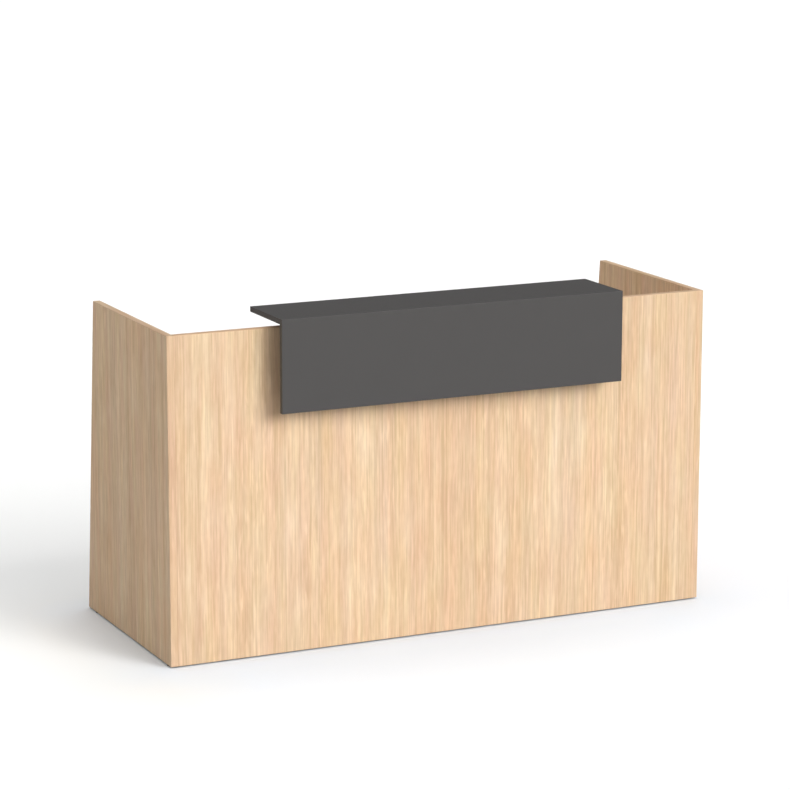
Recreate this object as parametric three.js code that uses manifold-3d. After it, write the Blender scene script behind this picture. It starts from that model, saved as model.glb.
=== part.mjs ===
// Panel-built reception desk.
// Two end panels and a front panel of faced board stand on levelling feet and carry a seated-height
// worktop inside. A folded hob (raised counter with a drop front) floats in front of and above the
// front panel on steel brackets. Millimetres, +Z up, +X to the visitor's right, -Y towards the visitor.
import * as THREE from 'three';
import { mergeVertices } from 'three/addons/utils/BufferGeometryUtils.js';
import Module from 'manifold-3d';

const wasm = await Module();
wasm.setup();

// ---------------------------------------------------------------- driving dimensions
const WIDTH = 2000;              // over the end panels
const PANEL_T = 25;              // end panels and front panel
const PANEL_Z0 = 5;              // air gap under the panels
const PANEL_Z1 = 1115;           // top of the panels
const END_DEPTH_TOP = 700;       // end panel, front edge to rear edge, at the top
const END_DEPTH_FOOT = 805;      // the same at the bottom: the rear edge slopes
const BAND_T = 2;                // edge bands

const WORKTOP_Z1 = 740;          // seated working height
const WORKTOP_T = 25;
const WORKTOP_REAR = 725;        // rear edge, from the front face

const HOB_W = 1264;
const HOB_T = 18;
const HOB_FRONT = -83;           // front face of the drop front, proud of the front panel
const HOB_REAR = 185;
const HOB_Z1 = 1154;             // counter height
const HOB_Z0 = 840;              // lower edge of the drop front

const BRACKET_X = [-450, 0, 450];
const BRACKET_W = 50;
const BRACKET_T = 6;
const BRACKET_Z0 = 995;          // foot of the leg on the panel's rear face
const BRACKET_ARM = [-60, 165];  // arm under the hob, front end and rear end
const BRACKET_SCREW_Z = [1020, 1095];
const BRACKET_HOB_SCREW_Y = 110;

const ANGLE = 40;                // worktop angle, leg length
const ANGLE_T = 3;
const ANGLE_SIDE_Y = [90, 650];  // run of the side angles
const ANGLE_FRONT_X = 850;       // half run of the front angle
const ANGLE_SCREW_Z = 692;
const ANGLE_SIDE_SCREW_Y = [170, 570];
const ANGLE_SIDE_UP_Y = 370;
const ANGLE_FRONT_SCREW_X = [-600, 600];

const SCREW_R = 1.75;            // shank
const SCREW_L = 20;
const SCREW_HEAD_R = 4.2;
const SCREW_PILOT_R = 1.95;
const SCREW_CLEAR_R = 2.5;
const SEAT_GAP = 0.1;

const CAM_R = 7.4;
const CAM_L = 17.5;
const CAM_INSET = 34;            // cam centre from the panel's side edge
const CAM_Z = [150, 930];
const BOLT_R = 3.0;

const FOOT_Y = [40, 735];        // 40 from the front edge, 70 from the rear edge
const FOOT_X = WIDTH / 2 - PANEL_T / 2;
const PAD_R = 11.5;
const STUD_R = 4;                // M8 stud
const STUD_TOP = 45;
const INSERT_R = 6;

const PORT_X = 560;              // cable ports in the worktop
const PORT_Y = 125;
const PORT_HOLE_R = 40;

// ---------------------------------------------------------------- finishes
const FINISH = {
  oak: { color: 0xe8caa6, roughness: 0.55, metalness: 0.0 },
  oakEdge: { color: 0xe3bf98, roughness: 0.5, metalness: 0.0 },
  charcoal: { color: 0x545150, roughness: 0.6, metalness: 0.0 },
  charcoalEdge: { color: 0x4b4948, roughness: 0.55, metalness: 0.0 },
  coatedSteel: { color: 0x56585b, roughness: 0.5, metalness: 0.6 },
  zinc: { color: 0xbfc2c6, roughness: 0.35, metalness: 1.0 },
  footPlastic: { color: 0x1d1e20, roughness: 0.6, metalness: 0.0 },
  portPlastic: { color: 0x3b3a3a, roughness: 0.55, metalness: 0.0 },
};

const desk = new THREE.Group();
desk.name = 'reception_desk';
// the modelling planes put the front face at y = 0; the finished part sits centred over its footprint
desk.position.set(0, -(HOB_FRONT + END_DEPTH_FOOT) / 2, 0);

const add = (name, geometry, finish, place) => {
  const mesh = new THREE.Mesh(geometry, new THREE.MeshStandardMaterial({ ...FINISH[finish], flatShading: true }));
  mesh.name = name;
  if (place) place(mesh);
  desk.add(mesh);
  return mesh;
};

// ---------------------------------------------------------------- geometry helpers
const V = (x, y, z) => new THREE.Vector3(x, y, z);

// one welded surface with no collapsed faces
const weld = (geometry) => {
  const g = geometry.clone();
  for (const key of Object.keys(g.attributes)) if (key !== 'position') g.deleteAttribute(key);
  const merged = mergeVertices(g, 1e-4);
  const source = merged.index.array;
  const kept = [];
  for (let i = 0; i < source.length; i += 3) {
    const [a, b, c] = [source[i], source[i + 1], source[i + 2]];
    if (a !== b && b !== c && c !== a) kept.push(a, b, c);
  }
  merged.setIndex(kept);
  return merged;
};

const solid = (geometry) => {
  const g = weld(geometry);
  return new wasm.Manifold(new wasm.Mesh({
    numProp: 3,
    vertProperties: new Float32Array(g.attributes.position.array),
    triVerts: new Uint32Array(g.index.array),
  }));
};

const geometryOf = (manifold) => {
  const mesh = manifold.getMesh();
  const g = new THREE.BufferGeometry();
  g.setAttribute('position', new THREE.BufferAttribute(new Float32Array(mesh.vertProperties), 3));
  g.setIndex(new THREE.BufferAttribute(new Uint32Array(mesh.triVerts), 1));
  return g;
};

const cut = (geometry, tools) => {
  let body = solid(geometry);
  for (const tool of tools) body = body.subtract(solid(tool));
  return geometryOf(body);
};

const join = (...geometries) => {
  let body = solid(geometries[0]);
  for (const g of geometries.slice(1)) body = body.add(solid(g));
  return geometryOf(body);
};

const box = (x0, x1, y0, y1, z0, z1) =>
  new THREE.BoxGeometry(x1 - x0, y1 - y0, z1 - z0).translate((x0 + x1) / 2, (y0 + y1) / 2, (z0 + z1) / 2);

const outline = (points) => new THREE.Shape(points.map(([u, v]) => new THREE.Vector2(u, v)));

// profile in Y-Z, run along X
const prismX = (points, x0, x1) =>
  new THREE.ExtrudeGeometry(outline(points), { depth: x1 - x0, bevelEnabled: false })
    .applyMatrix4(new THREE.Matrix4().makeBasis(V(0, 1, 0), V(0, 0, 1), V(1, 0, 0)).setPosition(x0, 0, 0));

// profile in X-Z, run along Y
const prismY = (points, y0, y1) =>
  new THREE.ExtrudeGeometry(outline(points), { depth: y1 - y0, bevelEnabled: false })
    .applyMatrix4(new THREE.Matrix4().makeBasis(V(1, 0, 0), V(0, 0, 1), V(0, -1, 0)).setPosition(0, y1, 0));

const AXES = {
  x: [V(0, 1, 0), V(1, 0, 0), V(0, 0, -1)],
  y: [V(1, 0, 0), V(0, 1, 0), V(0, 0, 1)],
  z: [V(1, 0, 0), V(0, 0, 1), V(0, -1, 0)],
};
// round rod along an axis from a to b, through the point given by the other two coordinates
const rod = (axis, a, b, centre, r, sides = 12) => {
  const g = new THREE.CylinderGeometry(r, r, b - a, sides, 1);
  const at = { x: V((a + b) / 2, centre[0], centre[1]), y: V(centre[0], (a + b) / 2, centre[1]), z: V(centre[0], centre[1], (a + b) / 2) }[axis];
  return g.applyMatrix4(new THREE.Matrix4().makeBasis(...AXES[axis]).setPosition(at));
};

// turned piece about +Z: profile of [radius, height], upwards on the outside
const turned = (profile, sides) =>
  weld(new THREE.LatheGeometry(profile.map(([r, h]) => new THREE.Vector2(r, h)), sides)
    .applyMatrix4(new THREE.Matrix4().makeBasis(...AXES.z)));

// ---------------------------------------------------------------- boards
const half = WIDTH / 2;
const inner = half - PANEL_T;                // inside face of an end panel
const slope = (END_DEPTH_FOOT - END_DEPTH_TOP) / (PANEL_Z1 - PANEL_Z0);
const rearAt = (z, inset) => END_DEPTH_FOOT - slope * (z - PANEL_Z0) - inset * Math.hypot(1, slope);

const endCore = [
  [BAND_T, PANEL_Z0],
  [rearAt(PANEL_Z0, BAND_T), PANEL_Z0],
  [rearAt(PANEL_Z1 - BAND_T, BAND_T), PANEL_Z1 - BAND_T],
  [BAND_T, PANEL_Z1 - BAND_T],
];
const endBand = [
  [0, PANEL_Z0],
  endCore[0],
  endCore[3],
  endCore[2],
  endCore[1],
  [END_DEPTH_FOOT, PANEL_Z0],
  [END_DEPTH_TOP, PANEL_Z1],
  [0, PANEL_Z1],
];

for (const [side, s] of [['left', -1], ['right', 1]]) {
  const [x0, x1] = s < 0 ? [-half, -inner] : [inner, half];
  const inward = (depth) => (s < 0 ? [-inner - depth, -inner + 1] : [inner - 1, inner + depth]);
  const holes = [];
  for (const y of FOOT_Y) holes.push(rod('z', PANEL_Z0 - 1, PANEL_Z0 + 45, [s * FOOT_X, y], INSERT_R + 0.5, 12));
  for (const z of CAM_Z) holes.push(rod('x', ...inward(12), [PANEL_T / 2, z], 3.0, 8));
  for (const y of ANGLE_SIDE_SCREW_Y) holes.push(rod('x', ...inward(18.5), [y, ANGLE_SCREW_Z], SCREW_PILOT_R, 8));
  add(`${side}_end_panel`, cut(prismX(endCore, x0, x1), holes), 'oak');
  add(`${side}_end_panel_edge_band`, prismX(endBand, x0, x1), 'oakEdge');
}

{
  const holes = [];
  for (const s of [-1, 1]) {
    for (const z of CAM_Z) {
      holes.push(rod('y', PANEL_T - CAM_L - 0.3, PANEL_T + 1, [s * (inner - CAM_INSET), z], CAM_R + 0.5, 12));
      holes.push(rod('x', ...(s < 0 ? [-inner - 1, -inner + CAM_INSET] : [inner - CAM_INSET, inner + 1]), [PANEL_T / 2, z], BOLT_R + 1.3, 8));
    }
  }
  for (const x of BRACKET_X) for (const z of BRACKET_SCREW_Z) holes.push(rod('y', 9, PANEL_T + 1, [x, z], SCREW_PILOT_R, 8));
  for (const x of ANGLE_FRONT_SCREW_X) holes.push(rod('y', 6, PANEL_T + 1, [x, ANGLE_SCREW_Z], SCREW_PILOT_R, 8));
  add('front_panel', cut(box(-inner, inner, 0, PANEL_T, PANEL_Z0, PANEL_Z1 - BAND_T), holes), 'oak');
  add('front_panel_top_edge_band', box(-inner, inner, 0, PANEL_T, PANEL_Z1 - BAND_T, PANEL_Z1), 'oakEdge');
}

const worktopZ0 = WORKTOP_Z1 - WORKTOP_T;
{
  const holes = [];
  for (const s of [-1, 1]) {
    holes.push(rod('z', worktopZ0 - 1, WORKTOP_Z1 + 1, [s * PORT_X, PORT_Y], PORT_HOLE_R, 28));
    holes.push(rod('z', worktopZ0 - 1, worktopZ0 + 18.5, [s * (inner - 22), ANGLE_SIDE_UP_Y], SCREW_PILOT_R, 8));
  }
  holes.push(rod('z', worktopZ0 - 1, worktopZ0 + 18.5, [0, PANEL_T + 22], SCREW_PILOT_R, 8));
  add('worktop', cut(box(-inner, inner, PANEL_T, WORKTOP_REAR - BAND_T, worktopZ0, WORKTOP_Z1), holes), 'oak');
  add('worktop_rear_edge_band', box(-inner, inner, WORKTOP_REAR - BAND_T, WORKTOP_REAR, worktopZ0, WORKTOP_Z1), 'oakEdge');
}

// ---------------------------------------------------------------- hob, two boards mitred along the front top edge
const hobHalf = HOB_W / 2;
const hobTopZ0 = HOB_Z1 - HOB_T;
const hobBackY = HOB_FRONT + HOB_T;
const topProfile = (rear) => [[HOB_FRONT, HOB_Z1], [hobBackY, hobTopZ0], [rear, hobTopZ0], [rear, HOB_Z1]];
const dropProfile = (low) => [[HOB_FRONT, HOB_Z1], [HOB_FRONT, low], [hobBackY, low], [hobBackY, hobTopZ0]];
{
  const holes = BRACKET_X.map((x) => rod('z', hobTopZ0 - 1, hobTopZ0 + 14.5, [x, BRACKET_HOB_SCREW_Y], SCREW_PILOT_R, 8));
  add('hob_top', cut(prismX(topProfile(HOB_REAR - BAND_T), -hobHalf + BAND_T, hobHalf - BAND_T), holes), 'charcoal');
  add('hob_top_edge_band', cut(prismX(topProfile(HOB_REAR), -hobHalf, hobHalf), [
    box(-hobHalf + BAND_T, hobHalf - BAND_T, HOB_FRONT - 50, HOB_REAR - BAND_T, hobTopZ0 - 50, HOB_Z1 + 50),
  ]), 'charcoalEdge');
  add('hob_front', prismX(dropProfile(HOB_Z0 + BAND_T), -hobHalf + BAND_T, hobHalf - BAND_T), 'charcoal');
  add('hob_front_edge_band', cut(prismX(dropProfile(HOB_Z0), -hobHalf, hobHalf), [
    box(-hobHalf + BAND_T, hobHalf - BAND_T, HOB_FRONT - 50, hobBackY + 50, HOB_Z0 + BAND_T, HOB_Z1 + 50),
  ]), 'charcoalEdge');
}

// ---------------------------------------------------------------- screws: seat at the origin, head towards +Z
const screw = turned([
  [0, -SCREW_L], [SCREW_R, -SCREW_L + 3.5], [SCREW_R, 0], [SCREW_HEAD_R, 0], [SCREW_HEAD_R, 1.2], [2.9, 2.4], [0, 2.4],
], 8);
const HEAD = {
  rear: (m) => m.rotation.set(-Math.PI / 2, 0, 0),   // head faces +Y
  down: (m) => m.rotation.set(Math.PI, 0, 0),        // head faces -Z
  right: (m) => m.rotation.set(0, Math.PI / 2, 0),   // head faces +X
  left: (m) => m.rotation.set(0, -Math.PI / 2, 0),   // head faces -X
};
const addScrew = (name, head, x, y, z) =>
  add(name, screw, 'zinc', (m) => { HEAD[head](m); m.position.set(x, y, z); });

// ---------------------------------------------------------------- hob brackets: leg on the front panel's rear face, arm under the hob
{
  const armZ0 = hobTopZ0 - BRACKET_T;
  const profile = [
    [PANEL_T, BRACKET_Z0], [PANEL_T + BRACKET_T, BRACKET_Z0], [PANEL_T + BRACKET_T, armZ0], [BRACKET_ARM[1], armZ0],
    [BRACKET_ARM[1], hobTopZ0], [BRACKET_ARM[0], hobTopZ0], [BRACKET_ARM[0], armZ0], [PANEL_T, armZ0],
  ];
  ['left', 'centre', 'right'].forEach((side, i) => {
    const x = BRACKET_X[i];
    const holes = BRACKET_SCREW_Z.map((z) => rod('y', PANEL_T - 1, PANEL_T + BRACKET_T + 1, [x, z], SCREW_CLEAR_R, 8));
    holes.push(rod('z', armZ0 - 1, hobTopZ0 + 1, [x, BRACKET_HOB_SCREW_Y], SCREW_CLEAR_R, 8));
    add(`hob_bracket_${side}`, cut(prismX(profile, x - BRACKET_W / 2, x + BRACKET_W / 2), holes), 'coatedSteel');
    addScrew(`hob_bracket_${side}_lower_screw`, 'rear', x, PANEL_T + BRACKET_T + SEAT_GAP, BRACKET_SCREW_Z[0]);
    addScrew(`hob_bracket_${side}_upper_screw`, 'rear', x, PANEL_T + BRACKET_T + SEAT_GAP, BRACKET_SCREW_Z[1]);
    addScrew(`hob_bracket_${side}_arm_screw`, 'down', x, BRACKET_HOB_SCREW_Y, armZ0 - SEAT_GAP);
  });
}

// ---------------------------------------------------------------- steel angles under the worktop
const angleZ0 = worktopZ0 - ANGLE;
const legZ0 = worktopZ0 - ANGLE_T;
for (const [side, s] of [['left', -1], ['right', 1]]) {
  const wall = s * inner;
  const face = s * (inner - ANGLE_T);
  const tip = s * (inner - ANGLE);
  const ring = [[wall, worktopZ0], [tip, worktopZ0], [tip, legZ0], [face, legZ0], [face, angleZ0], [wall, angleZ0]];
  if (s > 0) ring.reverse();
  const holes = ANGLE_SIDE_SCREW_Y.map((y) => rod('x', Math.min(wall, face) - 1, Math.max(wall, face) + 1, [y, ANGLE_SCREW_Z], SCREW_CLEAR_R, 8));
  holes.push(rod('z', legZ0 - 1, worktopZ0 + 1, [s * (inner - 22), ANGLE_SIDE_UP_Y], SCREW_CLEAR_R, 8));
  add(`worktop_angle_${side}`, cut(prismY(ring, ...ANGLE_SIDE_Y), holes), 'coatedSteel');
  const head = s < 0 ? 'right' : 'left';
  addScrew(`worktop_angle_${side}_front_screw`, head, s * (inner - ANGLE_T - SEAT_GAP), ANGLE_SIDE_SCREW_Y[0], ANGLE_SCREW_Z);
  addScrew(`worktop_angle_${side}_rear_screw`, head, s * (inner - ANGLE_T - SEAT_GAP), ANGLE_SIDE_SCREW_Y[1], ANGLE_SCREW_Z);
  addScrew(`worktop_angle_${side}_worktop_screw`, 'down', s * (inner - 22), ANGLE_SIDE_UP_Y, legZ0 - SEAT_GAP);
}
{
  const y0 = PANEL_T;
  const ring = [
    [y0, angleZ0], [y0 + ANGLE_T, angleZ0], [y0 + ANGLE_T, legZ0], [y0 + ANGLE, legZ0], [y0 + ANGLE, worktopZ0], [y0, worktopZ0],
  ];
  const holes = ANGLE_FRONT_SCREW_X.map((x) => rod('y', y0 - 1, y0 + ANGLE_T + 1, [x, ANGLE_SCREW_Z], SCREW_CLEAR_R, 8));
  holes.push(rod('z', legZ0 - 1, worktopZ0 + 1, [0, PANEL_T + 22], SCREW_CLEAR_R, 8));
  add('worktop_angle_front', cut(prismX(ring, -ANGLE_FRONT_X, ANGLE_FRONT_X), holes), 'coatedSteel');
  addScrew('worktop_angle_front_left_screw', 'rear', ANGLE_FRONT_SCREW_X[0], y0 + ANGLE_T + SEAT_GAP, ANGLE_SCREW_Z);
  addScrew('worktop_angle_front_right_screw', 'rear', ANGLE_FRONT_SCREW_X[1], y0 + ANGLE_T + SEAT_GAP, ANGLE_SCREW_Z);
  addScrew('worktop_angle_front_worktop_screw', 'down', 0, PANEL_T + 22, legZ0 - SEAT_GAP);
}

// ---------------------------------------------------------------- cam fittings that pull the front panel against the end panels
{
  // cam: axis +Z, visible face at z = 0, radial mouth towards +X for the bolt head
  const cam = cut(
    turned([[0, -CAM_L], [CAM_R - 0.6, -CAM_L], [CAM_R, -CAM_L + 0.6], [CAM_R, -0.4], [CAM_R - 0.4, 0], [0, 0]], 12),
    [
      rod('x', -2.5, CAM_R + 2, [0, -PANEL_T / 2], 3.5, 12),
      box(-3.6, 3.6, -0.7, 0.7, -2, 1),
      box(-0.7, 0.7, -3.6, 3.6, -2, 1),
    ],
  );
  // bolt: axis +Z, shoulder at z = 0 on the end panel's face, ball end in the cam
  const bolt = turned([
    [0, -11], [2.0, -11], [2.6, -10], [2.6, 0], [BOLT_R, 0.3], [BOLT_R, 25.5], [2.0, 26.5], [2.0, 30.5], [BOLT_R, 31.5], [BOLT_R, 34.5], [1.8, 35.8], [0, 35.8],
  ], 8);
  for (const [side, s] of [['left', -1], ['right', 1]]) {
    ['lower', 'upper'].forEach((level, i) => {
      const z = CAM_Z[i];
      add(`panel_cam_${side}_${level}`, cam, 'zinc', (m) => {
        m.rotation.set(-Math.PI / 2, 0, s < 0 ? Math.PI : 0, 'XYZ');
        m.position.set(s * (inner - CAM_INSET), PANEL_T, z);
      });
      add(`panel_cam_bolt_${side}_${level}`, bolt, 'zinc', (m) => {
        HEAD[s < 0 ? 'right' : 'left'](m);
        m.position.set(s * inner, PANEL_T / 2, z);
      });
    });
  }
}

// ---------------------------------------------------------------- levelling feet
{
  const insert = turned([[4.4, 4], [10, 4], [10, PANEL_Z0], [INSERT_R, PANEL_Z0], [INSERT_R, 27], [4.4, 27], [4.4, 4]], 12);
  const stud = turned([[0, 1.2], [5.8, 1.2], [5.8, 2.0], [STUD_R, 2.0], [STUD_R, STUD_TOP - 1], [STUD_R - 0.9, STUD_TOP], [0, STUD_TOP]], 12);
  const pad = turned([
    [0, 0], [PAD_R - 0.6, 0], [PAD_R, 0.6], [PAD_R, 3.0], [PAD_R - 0.8, 3.7], [4.7, 3.7], [4.7, 2.2], [6.4, 2.2], [6.4, 1.0], [0, 1.0],
  ], 16);
  for (const [side, s] of [['left', -1], ['right', 1]]) {
    ['front', 'rear'].forEach((end, i) => {
      const here = (m) => m.position.set(s * FOOT_X, FOOT_Y[i], 0);
      add(`${end}_${side}_foot_insert`, insert, 'zinc', here);
      add(`${end}_${side}_foot_stud`, stud, 'zinc', here);
      add(`${end}_${side}_foot_pad`, pad, 'footPlastic', here);
    });
  }
}

// ---------------------------------------------------------------- cable ports: fixed sleeve and turning cap, heights from the worktop's surface
{
  const sleeve = turned([
    [37.4, -24], [39.2, -24], [39.2, 0], [45, 0], [45, 1.4], [43.8, 2.4], [38.6, 2.4], [38.6, -1], [35.4, -1], [35.4, -3], [37.4, -4.5], [37.4, -24],
  ], 28);
  const disc = turned([[0, -0.7], [37.4, -0.7], [38.0, -0.2], [38.0, 1.5], [37.4, 2.1], [0, 2.1]], 28);
  const cap = cut(disc, [join(rod('z', -2, 4, [0, -26], 13, 16), box(-13, 13, -45, -26, -2, 4))]);
  for (const [side, s] of [['left', -1], ['right', 1]]) {
    const here = (m) => m.position.set(s * PORT_X, PORT_Y, WORKTOP_Z1);
    add(`cable_port_${side}_sleeve`, sleeve, 'portPlastic', here);
    add(`cable_port_${side}_cap`, cap, 'portPlastic', here);
  }
}

export default desk;
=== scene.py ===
import math

import bmesh
import bpy
from mathutils import Matrix, Vector


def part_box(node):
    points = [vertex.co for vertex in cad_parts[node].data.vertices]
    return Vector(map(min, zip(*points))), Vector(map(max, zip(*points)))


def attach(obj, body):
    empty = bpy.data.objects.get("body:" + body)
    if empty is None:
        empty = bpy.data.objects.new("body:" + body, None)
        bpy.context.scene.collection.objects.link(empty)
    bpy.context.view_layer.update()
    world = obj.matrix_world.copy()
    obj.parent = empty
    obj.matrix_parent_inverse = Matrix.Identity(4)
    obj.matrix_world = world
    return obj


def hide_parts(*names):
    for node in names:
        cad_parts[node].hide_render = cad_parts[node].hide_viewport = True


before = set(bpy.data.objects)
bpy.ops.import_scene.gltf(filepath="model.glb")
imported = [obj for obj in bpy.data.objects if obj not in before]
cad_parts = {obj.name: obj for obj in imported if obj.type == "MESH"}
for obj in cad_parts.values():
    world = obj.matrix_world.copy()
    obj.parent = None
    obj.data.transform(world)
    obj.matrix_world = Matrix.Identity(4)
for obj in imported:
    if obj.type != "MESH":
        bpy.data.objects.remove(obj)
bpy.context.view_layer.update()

scene = bpy.context.scene
pi, cos, sin, hypot = math.pi, math.cos, math.sin, math.hypot

# Sizes below are in millimetres, measured from the front face of the desk (y = 0, +y towards the staff side).
# TO_FRAME takes them to metres in the part's own frame.
FRONT_Y = round(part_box("front_panel")[0].y * 1000.0, 2)
TO_FRAME = Matrix.Diagonal((0.001, 0.001, 0.001, 1.0)) @ Matrix.Translation((0.0, FRONT_Y, 0.0))

HALF, INNER = 1000.0, 975.0                 # outside and inside face of an end panel
FOOT_GAP, PANEL_TOP = 5.0, 1115.0
DEPTH_TOP, DEPTH_FOOT = 700.0, 805.0
BAND = 2.0
SLOPE = (DEPTH_FOOT - DEPTH_TOP) / (PANEL_TOP - FOOT_GAP)
WORKTOP_Z0, WORKTOP_Z1, WORKTOP_REAR = 715.0, 740.0, 725.0
HOB_HALF, HOB_FRONT, HOB_BACK, HOB_REAR = 632.0, -83.0, -65.0, 185.0
HOB_Z1, HOB_UNDER, HOB_Z0 = 1154.0, 1136.0, 840.0


# ------------------------------------------------------------------------------------------------ mesh helpers
def fillet(points, radii, n=4, closed=True):
    """The outline with each corner rounded to its radius."""
    out, count = [], len(points)
    for i, point in enumerate(points):
        r = radii[i] if hasattr(radii, "__len__") else radii
        p = Vector(point)
        if r <= 0 or (not closed and i in (0, count - 1)):
            out.append(tuple(p))
            continue
        a, b = Vector(points[i - 1]) - p, Vector(points[(i + 1) % count]) - p
        la, lb = a.length, b.length
        a, b = a / la, b / lb
        angle = a.angle(b)
        if angle > pi - 1e-3:
            out.append(tuple(p))
            continue
        t = min(r / math.tan(angle / 2), 0.49 * la, 0.49 * lb)
        r = t * math.tan(angle / 2)
        c = p + (a + b).normalized() * (r / sin(angle / 2))
        s, e = p + a * t, p + b * t
        a0, a1 = math.atan2(s.y - c.y, s.x - c.x), math.atan2(e.y - c.y, e.x - c.x)
        d = (a1 - a0 + pi) % (2 * pi) - pi
        out += [(c.x + r * cos(a0 + d * k / n), c.y + r * sin(a0 + d * k / n)) for k in range(n + 1)]
    return out


PLACE = {
    "x": lambda p, q, t: (t, p, q),
    "y": lambda p, q, t: (p, t, q),
    "z": lambda p, q, t: (p, q, t),
}


def prism(bm, ring, axis, a, b):
    """A closed bar: the outline, run along an axis from a to b."""
    at = PLACE[axis]
    lo = [bm.verts.new(at(p, q, a)) for p, q in ring]
    hi = [bm.verts.new(at(p, q, b)) for p, q in ring]
    bm.faces.new(lo[::-1])
    bm.faces.new(hi)
    for i in range(len(ring)):
        k = (i + 1) % len(ring)
        bm.faces.new((lo[i], lo[k], hi[k], hi[i]))
    return bm


def board(x0, x1, y0, y1, z0, z1):
    return prism(bmesh.new(), [(x0, y0), (x1, y0), (x1, y1), (x0, y1)], "z", z0, z1)


def rod(axis, a, b, centre, r, sides=48):
    ring = [(centre[0] + r * cos(2 * pi * k / sides), centre[1] + r * sin(2 * pi * k / sides)) for k in range(sides)]
    return prism(bmesh.new(), ring, axis, a, b)


def sweep(bm, sections):
    """A closed bar through sections of the same number of points."""
    rings = [[bm.verts.new(p) for p in s] for s in sections]
    n = len(rings[0])
    for a, b in zip(rings, rings[1:]):
        for i in range(n):
            k = (i + 1) % n
            bm.faces.new((a[i], a[k], b[k], b[i]))
    bm.faces.new(rings[0][::-1])
    bm.faces.new(rings[-1])
    return bm


def revolve(bm, profile, sides, closed=False, warp=None):
    """A turned piece about +Z. warp changes the radius round the piece, for flutes and threads."""
    rows = []
    for r, z in profile:
        if r < 1e-6:
            rows.append([bm.verts.new((0.0, 0.0, z))])
            continue
        row = []
        for j in range(sides):
            t = 2 * pi * j / sides
            q = warp(r, z, t) if warp else r
            row.append(bm.verts.new((q * cos(t), q * sin(t), z)))
        rows.append(row)
    pairs = list(zip(rows, rows[1:])) + ([(rows[-1], rows[0])] if closed else [])
    for a, b in pairs:
        for j in range(sides):
            k = (j + 1) % sides
            if len(a) == 1:
                bm.faces.new((a[0], b[k], b[j]))
            elif len(b) == 1:
                bm.faces.new((a[j], a[k], b[0]))
            else:
                bm.faces.new((a[j], a[k], b[k], b[j]))
    return bm


def soften(bm, pick, r, segments=3):
    """Rounds the edges that pick names."""
    edges = [e for e in bm.edges if pick(e)]
    bmesh.ops.bevel(bm, geom=edges, offset=r, offset_type="OFFSET", segments=segments, profile=0.5,
                    affect="EDGES", clamp_overlap=True)
    return bm


def lies(e, **where):
    """Whether an edge lies in all the given planes, as in x=975."""
    return all(abs(getattr(v.co, k) - c) < 0.02 for v in e.verts for k, c in where.items())


def carve(bm, tools):
    """bm less each of the tools."""
    def temporary(b):
        bmesh.ops.recalc_face_normals(b, faces=b.faces)
        mesh = bpy.data.meshes.new("cutting")
        b.to_mesh(mesh)
        b.free()
        o = bpy.data.objects.new("cutting", mesh)
        scene.collection.objects.link(o)
        return o

    base, cutters = temporary(bm), [temporary(t) for t in tools]
    for c in cutters:
        m = base.modifiers.new("cut", "BOOLEAN")
        m.operation, m.solver, m.object = "DIFFERENCE", "EXACT", c
    mesh = bpy.data.meshes.new_from_object(base.evaluated_get(bpy.context.evaluated_depsgraph_get()))
    out = bmesh.new()
    out.from_mesh(mesh)
    bmesh.ops.dissolve_degenerate(out, dist=1e-4, edges=out.edges)
    bpy.data.meshes.remove(mesh)
    for o in [base] + cutters:
        left = o.data
        bpy.data.objects.remove(o)
        bpy.data.meshes.remove(left)
    return out


def mesh_of(name, bm, materials, pick=None, smooth=32.0, place=TO_FRAME):
    """The finished mesh. pick gives a face its material where there are several."""
    bmesh.ops.recalc_face_normals(bm, faces=bm.faces)
    if pick:
        bm.normal_update()
        for f in bm.faces:
            f.material_index = pick(f)
    mesh = bpy.data.meshes.new(name)
    bm.to_mesh(mesh)
    bm.free()
    if place is not None:
        mesh.transform(place)
    for m in materials:
        mesh.materials.append(m)
    mesh.polygons.foreach_set("use_smooth", [True] * len(mesh.polygons))
    mesh.set_sharp_from_angle(angle=math.radians(smooth))
    return mesh


def piece(name, mesh, node, body="carcass", place=None):
    """Shows a mesh as the finish of one CAD node."""
    o = bpy.data.objects.new(name, mesh)
    scene.collection.objects.link(o)
    if place is not None:
        o.matrix_world = place
    m = o.modifiers.new("even_faces", "WEIGHTED_NORMAL")
    m.weight, m.keep_sharp = 100, True
    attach(o, body)
    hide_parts(node)
    return o


def at_place(x, y, z, axis=(0, 0, 1), spin=0.0):
    """Stands a millimetre mesh made about +Z on a point, with +Z turned to the axis."""
    turn = Vector((0, 0, 1)).rotation_difference(Vector(axis)).to_matrix().to_4x4()
    here = TO_FRAME @ Vector((x, y, z))
    return Matrix.Translation(here) @ turn @ Matrix.Rotation(spin, 4, "Z")


MILLI = Matrix.Diagonal((0.001, 0.001, 0.001, 1.0))


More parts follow.
